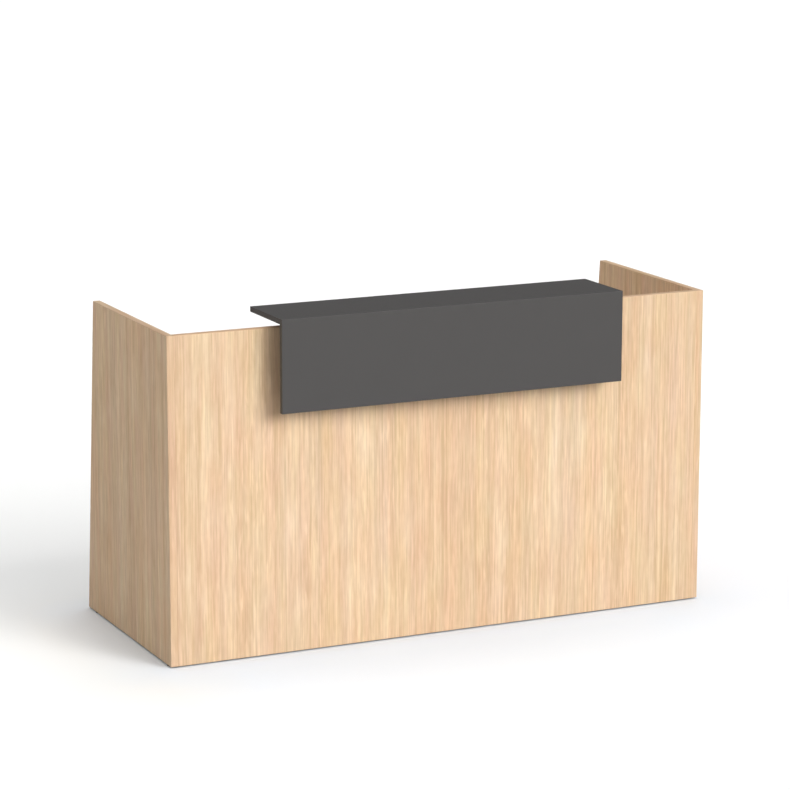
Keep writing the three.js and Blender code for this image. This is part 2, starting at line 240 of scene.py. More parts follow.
# ------------------------------------------------------------------------------------------------ materials
class Finish:
    """A node material, built up one node at a time."""

    def __init__(self, name, **shader):
        self.material = bpy.data.materials.new(name)
        self.material.use_nodes = True
        self.tree = self.material.node_tree
        self.tree.nodes.clear()
        self.out = self.tree.nodes.new("ShaderNodeOutputMaterial")
        self.bsdf = self.tree.nodes.new("ShaderNodeBsdfPrincipled")
        self.tree.links.new(self.bsdf.outputs[0], self.out.inputs["Surface"])
        for key, value in shader.items():
            self.bsdf.inputs[key.replace("_", " ")].default_value = value
        self.place = self.tree.nodes.new("ShaderNodeTexCoord").outputs["Object"]

    def node(self, kind, inputs=(), **props):
        n = self.tree.nodes.new("ShaderNode" + kind)
        for key, value in props.items():
            setattr(n, key, value)
        for key, value in dict(inputs).items():
            socket = n.inputs[key]
            if isinstance(value, bpy.types.NodeSocket):
                self.tree.links.new(value, socket)
            else:
                socket.default_value = value
        return n

    def math(self, operation, a, b=0.0, c=0.0):
        return self.node("Math", {0: a, 1: b, 2: c}, operation=operation).outputs[0]

    def parts(self, vector):
        n = self.node("SeparateXYZ", {0: vector})
        return n.outputs[0], n.outputs[1], n.outputs[2]

    def vector(self, x, y, z):
        return self.node("CombineXYZ", {0: x, 1: y, 2: z}).outputs[0]

    def scaled(self, vector, scale, offset=(0.0, 0.0, 0.0)):
        return self.node("Mapping", {"Vector": vector, "Scale": scale, "Location": offset}).outputs[0]

    def noise(self, vector, scale=1.0, detail=2.0, roughness=0.5, distortion=0.0):
        return self.node("TexNoise", {"Vector": vector, "Scale": scale, "Detail": detail, "Roughness": roughness,
                                      "Distortion": distortion}).outputs[0]

    def voronoi(self, vector, scale=1.0, feature="F1", output="Distance", randomness=1.0):
        return self.node("TexVoronoi", {"Vector": vector, "Scale": scale, "Randomness": randomness},
                         feature=feature).outputs[output]

    def range(self, value, a, b, c=0.0, d=1.0, clamp=True):
        return self.node("MapRange", {"Value": value, "From Min": a, "From Max": b, "To Min": c, "To Max": d},
                         clamp=clamp).outputs[0]

    def ramp(self, value, stops):
        n = self.node("ValToRGB", {0: value})
        e = n.color_ramp.elements
        while len(e) < len(stops):
            e.new(0.5)
        for item, (at, colour) in zip(e, stops):
            item.position = at
        for item, (at, colour) in zip(e, stops):
            item.color = (*colour, 1.0)
        return n.outputs[0]

    def mix(self, factor, a, b, blend="MIX"):
        n = self.node("Mix", data_type="RGBA", blend_type=blend)
        for i, value in ((0, factor), (6, a), (7, b)):
            if isinstance(value, bpy.types.NodeSocket):
                self.tree.links.new(value, n.inputs[i])
            else:
                n.inputs[i].default_value = value if i == 0 else (*value, 1.0)
        return n.outputs[2]

    def set(self, socket, value):
        self.tree.links.new(value, self.bsdf.inputs[socket])

    def bump(self, height, distance, strength=1.0):
        self.set("Normal", self.node("Bump", {"Height": height, "Distance": distance, "Strength": strength}).outputs[0])


OAK = (0.790, 0.564, 0.363)


def oak(name, across, along, seed, tint=(1.0, 1.0, 1.0), depth=1.0, roughness=(0.52, 0.66)):
    """Pale straight-grained oak decor. across and along name the axes over and along the grain."""
    f = Finish(name, Specular_IOR_Level=0.16)
    axes = dict(zip("xyz", f.parts(f.place)))

    def sum_of(names):
        value = axes[names[0]]
        for n in names[1:]:
            value = f.math("ADD", value, axes[n])
        return value

    u, v = sum_of(across), sum_of(along)
    flat = f.vector(u, v, 0.0)
    # the fibres wander a few millimetres to either side as they run
    drift = f.noise(f.scaled(flat, (1.7, 0.75, 1.0), (0.0, 0.0, seed)), detail=2.0)
    waver = f.noise(f.scaled(flat, (9.0, 3.2, 1.0), (3.0, 0.0, seed)), detail=2.0)
    u = f.math("MULTIPLY_ADD", f.math("SUBTRACT", drift, 0.5), 0.014, u)
    u = f.math("MULTIPLY_ADD", f.math("SUBTRACT", waver, 0.5), 0.004, u)
    flow = f.vector(u, v, 0.0)

    def fibres(over, length, shift, detail=1.0):
        """Streaks: how many to a metre over the grain, and along it."""
        return f.noise(f.scaled(flow, (over, length, 1.0), (1.7, 0.3, seed + shift)), detail=detail)

    def layers(items):
        total = 0.5
        for value, gain in items:
            total = f.math("MULTIPLY_ADD", f.math("SUBTRACT", value, 0.5), gain * depth, total)
        return total

    # board-wide shading, hand-wide bands and cloudy patches
    wide = layers([(fibres(5.0, 0.25, 2.3), 0.35), (fibres(24.0, 0.35, 12.1), 0.72), (fibres(14.0, 5.0, 7.7, 2.0), 0.66)])
    # streaks from a finger's width down to single fibres, some long, some broken
    fine = layers([(fibres(80.0, 3.2, 1.4), 0.66), (fibres(80.0, 0.6, 3.1), 0.58), (fibres(170.0, 7.0, 5.1), 1.10),
                   (fibres(180.0, 1.2, 6.4), 0.74), (fibres(100.0, 24.0, 9.8), 0.45), (fibres(560.0, 9.0, 21.6), 0.80)])
    # growth lines: a soft rise and a quick fall, strong in some bands and nearly gone in others
    lines = f.math("MULTIPLY_ADD", u, 96.0, f.math("MULTIPLY", f.noise(
        f.scaled(flow, (13.0, 0.45, 1.0), (0.0, 1.0, seed + 8.7)), detail=2.0), 6.0))
    saw = f.math("FRACT", lines)
    edge = f.math("MULTIPLY", f.range(saw, 0.0, 0.82), f.range(saw, 1.0, 0.86))
    where = f.range(f.noise(f.scaled(flow, (11.0, 0.9, 1.0), (5.0, 0.0, seed + 3.9)), detail=1.0), 0.44, 0.68)
    lines = f.math("MULTIPLY", edge, where)
    # short pale flecks that lie in columns and curl a little
    curl = f.noise(f.scaled(flat, (26.0, 15.0, 1.0), (4.0, 0.0, seed + 13.0)), detail=1.0)
    curled = f.vector(f.math("MULTIPLY_ADD", f.math("SUBTRACT", curl, 0.5), 0.009, u), v, 0.0)
    fleck = f.range(f.noise(f.scaled(curled, (92.0, 9.0, 1.0), (0.0, 2.0, seed + 11.0)), detail=1.0), 0.57, 0.70)
    column = f.range(f.noise(f.scaled(flow, (9.0, 0.5, 1.0), (7.0, 0.0, seed + 6.6)), detail=1.0), 0.44, 0.64)
    flecks = f.math("MULTIPLY", fleck, column)
    # open pores: hair-thin dashes
    pores = f.range(f.noise(f.scaled(flow, (1250.0, 46.0, 1.0), (0.0, 0.0, seed + 1.0)), detail=1.0), 0.64, 0.76)
    pores = f.math("MULTIPLY", pores, f.math("MULTIPLY_ADD", where, 0.6, 0.4))
    # and a few dark hair lines that run nearly the length of the board
    hairs = f.range(fibres(130.0, 0.16, 17.2, 0.0), 0.66, 0.80)
    for value, gain in ((lines, -0.14), (flecks, 0.42), (pores, -0.42), (hairs, -0.40)):
        fine = f.math("MULTIPLY_ADD", value, gain * depth, fine)

    def shades(tone, middle, spread):
        """Darker tones are also redder."""
        return f.ramp(tone, [(0.5 + k / 6.0, tuple(c * math.exp(e * k) for c, e in zip(middle, spread)))
                             for k in (-3.0, -1.5, 0.0, 1.5, 3.0)])

    colour = shades(fine, [c * t / 0.77 for c, t in zip(OAK, tint)], (0.0463, 0.0586, 0.0720))
    colour = f.mix(1.0, colour, shades(wide, (0.77, 0.77, 0.77), (0.0323, 0.0646, 0.0866)), "MULTIPLY")
    # some bands lean to straw, others to pink
    for over, length, shift, detail, lean in ((24.0, 0.6, 9.4, 1.0, (0.013, 0.000, -0.033)), (16.0, 4.5, 19.4, 2.0, (0.009, 0.000, -0.025)),
                                              (24.0, 3.0, 15.3, 2.0, (0.012, -0.017, 0.009))):
        one, other = tuple(1.0 + k for k in lean), tuple(1.0 - k for k in lean)
        colour = f.mix(1.0, colour, f.mix(f.range(fibres(over, length, shift, detail), 0.30, 0.70), one, other), "MULTIPLY")
    f.set("Base Color", colour)
    f.set("Roughness", f.range(f.math("MULTIPLY_ADD", pores, -0.25, fine), 0.2, 0.8, roughness[1], roughness[0]))
    relief = f.math("MULTIPLY_ADD", pores, -1.0, f.math("MULTIPLY", fine, 0.35))
    f.bump(relief, 0.00012, 0.6)
    return f.material


def chipboard(name):
    """The raw core of a faced board, where no band covers it."""
    f = Finish(name, Specular_IOR_Level=0.2)
    shift = f.noise(f.place, 160.0, 2.0)
    warped = f.node("VectorMath", {0: f.place, 1: f.vector(f.math("MULTIPLY", shift, 0.004), 0.0, 0.0)},
                    operation="ADD").outputs[0]
    cells = f.voronoi(warped, 420.0, output="Color")
    grain = f.parts(cells)[0]
    f.set("Base Color", f.ramp(grain, [(0.0, (0.30, 0.19, 0.10)), (0.35, (0.43, 0.29, 0.165)), (0.75, (0.52, 0.37, 0.22)),
                                       (1.0, (0.62, 0.47, 0.31))]))
    f.set("Roughness", f.range(grain, 0.0, 1.0, 0.78, 0.92))
    f.bump(f.voronoi(warped, 420.0), 0.0004, 0.7)
    return f.material


def charcoal(name, value, roughness, grain):
    """Plain charcoal facing with a fine pearl."""
    f = Finish(name, Specular_IOR_Level=0.38)
    pearl = f.noise(f.place, grain, 3.0, 0.6)
    cloud = f.noise(f.place, 7.0, 3.0, 0.55)
    speck = f.range(f.voronoi(f.place, grain * 0.55), 0.0, 0.30)
    tone = f.math("MULTIPLY_ADD", f.math("SUBTRACT", pearl, 0.5), 0.42, f.math("MULTIPLY_ADD", cloud, 0.16, 0.42))
    tone = f.math("MULTIPLY_ADD", f.math("SUBTRACT", speck, 1.0), 0.10, tone)
    lo, hi = [c * 0.80 for c in value], [c * 1.20 for c in value]
    f.set("Base Color", f.ramp(tone, [(0.0, lo), (0.5, tuple(value)), (1.0, hi)]))
    f.set("Roughness", f.range(pearl, 0.25, 0.75, roughness - 0.06, roughness + 0.06))
    f.bump(f.math("MULTIPLY_ADD", speck, 0.5, pearl), 0.00010, 0.55)
    return f.material


def powder_coat(name):
    f = Finish(name, Specular_IOR_Level=0.5)
    peel = f.noise(f.place, 620.0, 2.0, 0.5)
    patch = f.noise(f.place, 24.0, 3.0, 0.6)
    f.set("Base Color", f.ramp(f.math("MULTIPLY_ADD", peel, 0.4, f.math("MULTIPLY", patch, 0.6)),
                               [(0.2, (0.068, 0.069, 0.072)), (0.8, (0.098, 0.099, 0.103))]))
    f.set("Roughness", f.range(patch, 0.3, 0.7, 0.42, 0.56))
    f.bump(peel, 0.00018, 0.6)
    return f.material


def zinc(name):
    f = Finish(name, Metallic=1.0, Specular_IOR_Level=0.5)
    bloom = f.noise(f.place, 190.0, 3.0, 0.65)
    fine = f.noise(f.scaled(f.place, (1.0, 1.0, 6.0)), 520.0, 2.0, 0.6)
    f.set("Base Color", f.ramp(bloom, [(0.25, (0.50, 0.51, 0.52)), (0.55, (0.66, 0.67, 0.68)), (0.8, (0.74, 0.745, 0.74))]))
    f.set("Roughness", f.range(f.math("MULTIPLY_ADD", fine, 0.5, f.math("MULTIPLY", bloom, 0.5)), 0.3, 0.7, 0.24, 0.44))
    f.bump(fine, 0.00004, 0.5)
    return f.material


def plastic(name, lo, hi, grain, roughness, relief):
    f = Finish(name, Specular_IOR_Level=0.45)
    cells = f.voronoi(f.place, grain)
    soft = f.noise(f.place, grain * 0.35, 2.0)
    f.set("Base Color", f.ramp(f.math("MULTIPLY_ADD", soft, 0.6, f.math("MULTIPLY", cells, 0.4)), [(0.2, lo), (0.75, hi)]))
    f.set("Roughness", f.range(soft, 0.3, 0.7, roughness - 0.07, roughness + 0.07))
    f.bump(cells, relief, 0.6)
    return f.material


EDGE_TINT = (0.925, 0.885, 0.860)
oak_front = oak("oak_front", "x", "z", 4.0)
oak_ends = {"left": oak("oak_left_end", "y", "z", 21.0), "right": oak("oak_right_end", "y", "z", 37.0)}
oak_worktop = oak("oak_worktop", "y", "x", 52.0)
oak_end_band = oak("oak_end_band", "x", "yz", 63.0, EDGE_TINT, 0.8, (0.40, 0.52))
oak_front_band = oak("oak_front_band", "y", "x", 71.0, EDGE_TINT, 0.8, (0.40, 0.52))
oak_worktop_band = oak("oak_worktop_band", "z", "x", 83.0, EDGE_TINT, 0.8, (0.40, 0.52))
raw_core = chipboard("board_core")
charcoal_board = charcoal("charcoal_board", (0.0710, 0.0672, 0.0655), 0.52, 900.0)
charcoal_edge = charcoal("charcoal_edge", (0.0660, 0.0627, 0.0612), 0.46, 1500.0)
steel = powder_coat("bracket_coat")
fixing = zinc("zinc_fixing")
foot_plastic = plastic("foot_plastic", (0.012, 0.012, 0.013), (0.022, 0.022, 0.023), 1900.0, 0.55, 0.00010)
port_plastic = plastic("port_plastic", (0.040, 0.039, 0.039), (0.060, 0.058, 0.058), 1500.0, 0.52, 0.00012)

# ------------------------------------------------------------------------------------------------ panels
downward = lambda f: 1 if f.normal.z < -0.9 else 0
rear_at = lambda z, inset: DEPTH_FOOT - SLOPE * (z - FOOT_GAP) - inset * hypot(1.0, SLOPE)
END_OUTER = [(0.0, FOOT_GAP), (0.0, PANEL_TOP), (DEPTH_TOP, PANEL_TOP), (DEPTH_FOOT, FOOT_GAP)]
END_CORE = [(BAND, FOOT_GAP), (BAND, PANEL_TOP - BAND), (rear_at(PANEL_TOP - BAND, BAND), PANEL_TOP - BAND),
            (rear_at(FOOT_GAP, BAND), FOOT_GAP)]
FOOT_X, FOOT_Y = HALF - 12.5, (40.0, 735.0)
CAM_X, CAM_Z = INNER - 34.0, (150.0, 930.0)


def edge_strip(outer, inner, axis, a, b, r, corner):
    """A band folded round the corners of an open outline, its outer arrises rounded."""
    bm, at = bmesh.new(), PLACE[axis]
    oa, ob = ([bm.verts.new(at(p, q, t)) for p, q in outer] for t in (a, b))
    ia, ib = ([bm.verts.new(at(p, q, t)) for p, q in inner] for t in (a, b))
    for i in range(len(outer) - 1):
        bm.faces.new((oa[i], oa[i + 1], ob[i + 1], ob[i]))
        bm.faces.new((ia[i], ib[i], ib[i + 1], ia[i + 1]))
        bm.faces.new((oa[i], ia[i], ia[i + 1], oa[i + 1]))
        bm.faces.new((ob[i], ob[i + 1], ib[i + 1], ib[i]))
    for i in (0, -1):
        bm.faces.new((oa[i], ob[i], ib[i], ia[i]))
    sides = [set(oa), set(ob)]
    long_edges = [e for e in bm.edges if any(set(e.verts) <= s for s in sides)]
    turns = [e for i in range(len(outer)) for e in oa[i].link_edges if e.other_vert(oa[i]) is ob[i]]
    bmesh.ops.bevel(bm, geom=long_edges + turns, offset=r, offset_type="OFFSET", segments=4, profile=0.5,
                    affect="EDGES", clamp_overlap=True)
    return bm


for side, s in (("left", -1.0), ("right", 1.0)):
    x0, x1 = sorted((s * INNER, s * HALF))
    holes = [rod("z", FOOT_GAP - 1.0, 50.0, (s * FOOT_X, y), 6.3) for y in FOOT_Y]
    holes += [rod("x", *sorted((s * (INNER - 1.0), s * (INNER + 12.0))), (12.5, z), 2.8, 24) for z in CAM_Z]
    bm = carve(prism(bmesh.new(), END_CORE, "x", x0, x1), holes)
    piece(f"{side}_end_board", mesh_of(f"{side}_end_board", bm, [oak_ends[side], raw_core], downward),
          f"{side}_end_panel")
    bm = edge_strip(END_OUTER, END_CORE, "x", x0, x1, 1.3, 1.3)
    piece(f"{side}_end_band", mesh_of(f"{side}_end_band", bm, [oak_end_band]), f"{side}_end_panel_edge_band")

bm = board(-INNER, INNER, 0.0, 25.0, FOOT_GAP, PANEL_TOP - BAND)
soften(bm, lambda e: lies(e, y=0.0, z=FOOT_GAP) or lies(e, y=25.0, z=FOOT_GAP) or lies(e, x=INNER, y=0.0) or lies(e, x=-INNER, y=0.0), 0.5, 2)
holes = [rod("y", 25.0 - 17.9, 26.0, (s * CAM_X, z), 7.75, 64) for s in (-1, 1) for z in CAM_Z]
holes += [rod("x", *sorted((s * (CAM_X + 3.0), s * (INNER + 1.0))), (12.5, z), 4.3, 24) for s in (-1, 1) for z in CAM_Z]
bm = carve(bm, holes)
piece("front_board", mesh_of("front_board", bm, [oak_front, raw_core], downward), "front_panel")

bm = board(-INNER, INNER, 0.0, 25.0, PANEL_TOP - BAND, PANEL_TOP)
soften(bm, lambda e: lies(e, y=0.0, z=PANEL_TOP) or lies(e, y=25.0, z=PANEL_TOP), 1.3, 4)
piece("front_top_band", mesh_of("front_top_band", bm, [oak_front_band]), "front_panel_top_edge_band")

# ------------------------------------------------------------------------------------------------ worktop
PORT_X, PORT_Y = 560.0, 125.0
bm = board(-INNER, INNER, 25.0, WORKTOP_REAR - BAND, WORKTOP_Z0, WORKTOP_Z1)
bm = carve(bm, [rod("z", WORKTOP_Z0 - 1.0, WORKTOP_Z1 + 1.0, (s * PORT_X, PORT_Y), 40.0, 96) for s in (-1, 1)])
piece("worktop_board", mesh_of("worktop_board", bm, [oak_worktop]), "worktop")
bm = board(-INNER, INNER, WORKTOP_REAR - BAND, WORKTOP_REAR, WORKTOP_Z0, WORKTOP_Z1)
soften(bm, lambda e: lies(e, y=WORKTOP_REAR, z=WORKTOP_Z0) or lies(e, y=WORKTOP_REAR, z=WORKTOP_Z1), 1.3, 4)
piece("worktop_band", mesh_of("worktop_band", bm, [oak_worktop_band]), "worktop_rear_edge_band")

# ------------------------------------------------------------------------------------------------ hob
NOSE = 1.4      # radius of the folded front edge
nose_at = lambda degrees: (HOB_FRONT + NOSE + NOSE * cos(math.radians(degrees)), HOB_Z1 - NOSE + NOSE * sin(math.radians(degrees)))
upper_nose = [nose_at(a) for a in (135, 120, 105, 90)]
lower_nose = [nose_at(a) for a in (135, 150, 165, 180)]
MITRE_IN = (HOB_BACK, HOB_UNDER)
top_ring = lambda rear: upper_nose + [(rear, HOB_Z1), (rear, HOB_UNDER), MITRE_IN]
drop_ring = lambda low: lower_nose + [(HOB_FRONT, low), (HOB_BACK, low), MITRE_IN]
CUT = 0.03      # hairline where two strips of band butt


def hob_band(ring, rear):
    """The end strips and the long strip of one hob board, as three butted lengths."""
    whole = bmesh.new()
    for s in (-1.0, 1.0):
        bm = prism(bmesh.new(), ring, "x", *sorted((s * (HOB_HALF - BAND), s * HOB_HALF)))
        far = ring[len(upper_nose):-1]
        sharp = {(round(p, 3), round(q, 3)) for p, q in far}

        def outer(e, s=s):
            if not lies(e, x=s * HOB_HALF):
                return False
            (a, b) = [(round(v.co.y, 3), round(v.co.z, 3)) for v in e.verts]
            tip = (round(ring[0][0], 3), round(ring[0][1], 3))
            back = (round(MITRE_IN[0], 3), round(MITRE_IN[1], 3))
            return not ({a, b} <= sharp or {a, b} == {tip, back})

        soften(bm, outer, 0.7, 3)
        mesh = bpy.data.meshes.new("strip")
        bm.to_mesh(mesh)
        bm.free()
        whole.from_mesh(mesh)
        bpy.data.meshes.remove(mesh)
    mesh = bpy.data.meshes.new("strip")
    rear.to_mesh(mesh)
    rear.free()
    whole.from_mesh(mesh)
    bpy.data.meshes.remove(mesh)
    return whole


bm = prism(bmesh.new(), top_ring(HOB_REAR - BAND), "x", -HOB_HALF + BAND, HOB_HALF - BAND)
piece("hob_top_board", mesh_of("hob_top_board", bm, [charcoal_board]), "hob_top")
bm = prism(bmesh.new(), drop_ring(HOB_Z0 + BAND), "x", -HOB_HALF + BAND, HOB_HALF - BAND)
piece("hob_drop_board", mesh_of("hob_drop_board", bm, [charcoal_board]), "hob_front")

long = board(-HOB_HALF, HOB_HALF, HOB_REAR - BAND, HOB_REAR, HOB_UNDER, HOB_Z1)
soften(long, lambda e: lies(e, y=HOB_REAR) or (lies(e, x=HOB_HALF) and not lies(e, y=HOB_REAR - BAND)) or (lies(e, x=-HOB_HALF) and not lies(e, y=HOB_REAR - BAND)), 0.7, 3)
bm = hob_band(top_ring(HOB_REAR - BAND - CUT), long)
piece("hob_top_band", mesh_of("hob_top_band", bm, [charcoal_edge]), "hob_top_edge_band")
long = board(-HOB_HALF, HOB_HALF, HOB_FRONT, HOB_BACK, HOB_Z0, HOB_Z0 + BAND)
soften(long, lambda e: lies(e, z=HOB_Z0) or (lies(e, x=HOB_HALF) and not lies(e, z=HOB_Z0 + BAND)) or (lies(e, x=-HOB_HALF) and not lies(e, z=HOB_Z0 + BAND)), 0.7, 3)
bm = hob_band(drop_ring(HOB_Z0 + BAND + CUT), long)
piece("hob_drop_band", mesh_of("hob_drop_band", bm, [charcoal_edge]), "hob_front_edge_band")

# ------------------------------------------------------------------------------------------------ screws
def thread(pitch, root, crest, z0, z1, fade):
    """Radius of a right-hand thread at a height and an angle, running out at both ends."""
    def radius(r, z, t):
        phase = (z / pitch - t / (2 * pi)) % 1.0
        ridge = max(0.0, min(1.0, (0.5 - abs(phase - 0.5)) * 3.2 - 0.55))
        ends = max(0.0, min(1.0, (z - z0) / fade)) * max(0.0, min(1.0, (z1 - z) / fade))
        return root + (crest - root) * ridge * ends
    return radius


def cross(depth, reach, top, width=0.72):
    """A cross-head driver bit, point down."""
    tools = []
    for turned in (0, 1):
        bm = bmesh.new()
        low = [(-reach * 0.45, -width * 0.40), (reach * 0.45, -width * 0.40), (reach * 0.45, width * 0.40), (-reach * 0.45, width * 0.40)]
        high = [(-reach, -width * 0.5), (reach, -width * 0.5), (reach, width * 0.5), (-reach, width * 0.5)]
        flip = (lambda p: (p[1], -p[0])) if turned else (lambda p: p)
        sweep(bm, [[(*flip(p), top - depth) for p in low], [(*flip(p), top + 0.4) for p in high]])
        tools.append(bm)
    return tools


def screw_mesh():
    cut_thread = thread(1.6, 1.15, 1.75, -18.5, -0.8, 1.4)
    rows = [(0.0, -20.0), (0.35, -19.6)]
    z = -19.0
    while z < -0.7:
        rows.append((1.15, z))
        z += 0.16
    rows += [(1.2, -0.5), (1.45, 0.0)]
    head = fillet([(1.45, 0.0), (4.2, 0.0), (4.2, 0.95), (2.9, 2.25), (1.2, 2.4)], [0, 0.12, 0.45, 1.6, 0], 5, closed=False)[1:]
    rows += head + [(0.0, 2.4)]

    def warp(r, z, t):
        if z < -0.6 and r == 1.15:
            return min(cut_thread(r, z, t), 0.3 + (z + 20.0) * 0.55 if z < -17.0 else 9.0)
        return r

    bm = carve(revolve(bmesh.new(), rows, 32, warp=warp), cross(1.5, 1.95, 2.4))
    return mesh_of("screw", bm, [fixing], place=MILLI)


SCREW = screw_mesh()
turn = 0
for tag, x in (("left", -450.0), ("centre", 0.0), ("right", 450.0)):
    for level, z in (("lower", 1020.0), ("upper", 1095.0)):
        turn += 1
        piece(f"hob_bracket_{tag}_{level}_screw_zinc", SCREW, f"hob_bracket_{tag}_{level}_screw",
              place=at_place(x, 31.1, z, (0, 1, 0), 0.7 * turn))
    turn += 1
    piece(f"hob_bracket_{tag}_arm_screw_zinc", SCREW, f"hob_bracket_{tag}_arm_screw",
          place=at_place(x, 110.0, 1129.9, (0, 0, -1), 0.7 * turn))
for side, s in (("left", -1.0), ("right", 1.0)):
    for tag, y in (("front", 170.0), ("rear", 570.0)):
        turn += 1
        piece(f"worktop_angle_{side}_{tag}_screw_zinc", SCREW, f"worktop_angle_{side}_{tag}_screw",
              place=at_place(s * 971.9, y, 692.0, (-s, 0, 0), 0.7 * turn))
    turn += 1
    piece(f"worktop_angle_{side}_worktop_screw_zinc", SCREW, f"worktop_angle_{side}_worktop_screw",
          place=at_place(s * 953.0, 370.0, 711.9, (0, 0, -1), 0.7 * turn))
for tag, x in (("left", -600.0), ("right", 600.0)):
    turn += 1
    piece(f"worktop_angle_front_{tag}_screw_zinc", SCREW, f"worktop_angle_front_{tag}_screw",
          place=at_place(x, 28.1, 692.0, (0, 1, 0), 0.7 * turn))
turn += 1
piece("worktop_angle_front_worktop_screw_zinc", SCREW, "worktop_angle_front_worktop_screw",
      place=at_place(0.0, 47.0, 711.9, (0, 0, -1), 0.7 * turn))

# ------------------------------------------------------------------------------------------------ hob brackets
ARM = (-60.0, 165.0)
LEG = (25.0, 31.0)
LEG_Z0, ARM_Z0, ARM_Z1 = 995.0, 1130.0, 1136.0


def bracket_section(x, inset):
    """The bracket's outline in Y-Z at a distance x from its middle. The plate's corners are rounded, and a weld runs along both sides of the leg."""
    def corner(r):
        d = abs(x) - (25.0 - r)
        return r - math.sqrt(max(r * r - d * d, 0.0)) if d > 0 else 0.0
    end, foot = corner(7.0), corner(6.0)
    run = max(0.0, min(1.0, (24.0 - abs(x)) / 1.6))
    bead = (3.4 + 0.35 * cos(2 * pi * x / 2.3)) * math.sqrt(run) + 0.02
    y0, y1 = LEG[0] + inset, LEG[1] - inset
    z0, za, zb = LEG_Z0 + inset + foot, ARM_Z0 + inset, ARM_Z1 - inset
    front, rear = ARM[0] + inset + end, ARM[1] - inset - end
    arc = [(k / 5.0) * pi / 2 for k in range(6)]
    # the bead bulges a little past the straight line between its two toes
    rear_bead = [(y1 + bead * (1 - cos(a)) * 0.55 + bead * sin(a) * 0.45, za - bead * (1 - sin(a)) * 0.55 - bead * cos(a) * 0.45) for a in arc]
    rear_bead[0], rear_bead[-1] = (y1, za - bead), (y1 + bead, za)
    front_bead = [(2 * (y0 + y1) / 2 - p, q) for p, q in rear_bead][::-1]
    ring = [(y0 + 0.4, z0), (y1 - 0.4, z0), (y1, z0 + 0.4)]
    ring += rear_bead
    ring += [(rear - 0.4, za), (rear, za + 0.4), (rear, zb - 0.4), (rear - 0.4, zb),
             (front + 0.4, zb), (front, zb - 0.4), (front, za + 0.4), (front + 0.4, za)]
    ring += front_bead
    ring += [(y0, z0 + 0.4)]
    return ring


stations = [(-25.0, 0.6), (-24.82, 0.22), (-24.4, 0.0)]
stations += [(-24.0 + 48.0 * k / 96.0, 0.0) for k in range(97)]
stations += [(24.4, 0.0), (24.82, 0.22), (25.0, 0.6)]
for tag, x in (("left", -450.0), ("centre", 0.0), ("right", 450.0)):
    bm = sweep(bmesh.new(), [[(x + dx, p, q) for p, q in bracket_section(dx, inset)] for dx, inset in stations])
    piece(f"hob_bracket_{tag}_steel", mesh_of(f"hob_bracket_{tag}_steel", bm, [steel]), f"hob_bracket_{tag}")

# ------------------------------------------------------------------------------------------------ worktop angles
def angle_section(inset):
    """An angle's outline from its heel: along the wall it stands against, and out under the worktop."""
    a, t, i = 40.0, 3.0, inset
    ring = [(0.0 + i, -a + i), (t - i, -a + i), (t - i, -t + i), (a - i, -t + i), (a - i, 0.0 - i), (0.0 + i, 0.0 - i)]
    return fillet(ring, [0.35, 1.3, 2.6, 1.3, 0.35, 0.5], 5)


def angle(to_point, a, b):
    runs = [(a, 0.45), (a + 0.12, 0.15), (a + 0.45, 0.0), (b - 0.45, 0.0), (b - 0.12, 0.15), (b, 0.45)]
    return sweep(bmesh.new(), [[to_point(p, q, t) for p, q in angle_section(i)] for t, i in runs])


for side, s in (("left", -1.0), ("right", 1.0)):
    bm = angle(lambda p, q, t, s=s: (s * (INNER - p), t, WORKTOP_Z0 + q), 90.0, 650.0)
    piece(f"worktop_angle_{side}_steel", mesh_of(f"worktop_angle_{side}_steel", bm, [steel]), f"worktop_angle_{side}")
bm = angle(lambda p, q, t: (t, 25.0 + p, WORKTOP_Z0 + q), -850.0, 850.0)
piece("worktop_angle_front_steel", mesh_of("worktop_angle_front_steel", bm, [steel]), "worktop_angle_front")

# ------------------------------------------------------------------------------------------------ cams and their bolts
def cam_mesh():
    profile = [(0.0, -17.5)] + fillet(
        [(3.0, -17.5), (7.4, -17.5), (7.4, 0.0), (6.1, 0.0), (5.9, -0.35), (5.4, -0.35), (5.2, 0.0), (4.0, 0.0)],
        [0, 0.6, 0.35, 0.08, 0.08, 0.08, 0.08, 0], 3, closed=False) + [(0.0, 0.0)]
    bm = revolve(bmesh.new(), profile, 64)
    mouth = rod("x", -2.5, 9.4, (0.0, -12.5), 3.5, 32)
    return mesh_of("cam", carve(bm, cross(2.0, 3.5, 0.0, 1.3) + [mouth]), [fixing], place=MILLI)


def cam_bolt_mesh():
    cut_thread = thread(2.2, 1.9, 2.6, -11.0, -0.4, 1.2)
    rows = [(0.0, -11.0), (1.5, -11.0)]
    z = -10.8
    while z < -0.3:
        rows.append((1.9, z))
        z += 0.2
    rows += fillet([(2.6, -0.1), (3.0, 0.4), (3.0, 25.5), (2.0, 26.5), (2.0, 30.5), (3.0, 31.5), (3.0, 34.5), (1.8, 35.8)], 0.3, 3, closed=False)
    rows += [(0.0, 35.8)]
    bm = revolve(bmesh.new(), rows, 32, warp=lambda r, z, t: cut_thread(r, z, t) if r == 1.9 else r)
    return mesh_of("cam_bolt", bm, [fixing], place=MILLI)


CAM, CAM_BOLT = cam_mesh(), cam_bolt_mesh()
for side, s in (("left", -1.0), ("right", 1.0)):
    for level, z in zip(("lower", "upper"), CAM_Z):
        here = Matrix.Translation(TO_FRAME @ Vector((s * CAM_X, 24.95, z))) @ Matrix(((s, 0, 0, 0), (0, 0, 1, 0), (0, -s, 0, 0), (0, 0, 0, 1)))
        piece(f"panel_cam_{side}_{level}_zinc", CAM, f"panel_cam_{side}_{level}", place=here)
        piece(f"panel_cam_bolt_{side}_{level}_zinc", CAM_BOLT, f"panel_cam_bolt_{side}_{level}",
              place=at_place(s * INNER, 12.5, z, (-s, 0, 0)))

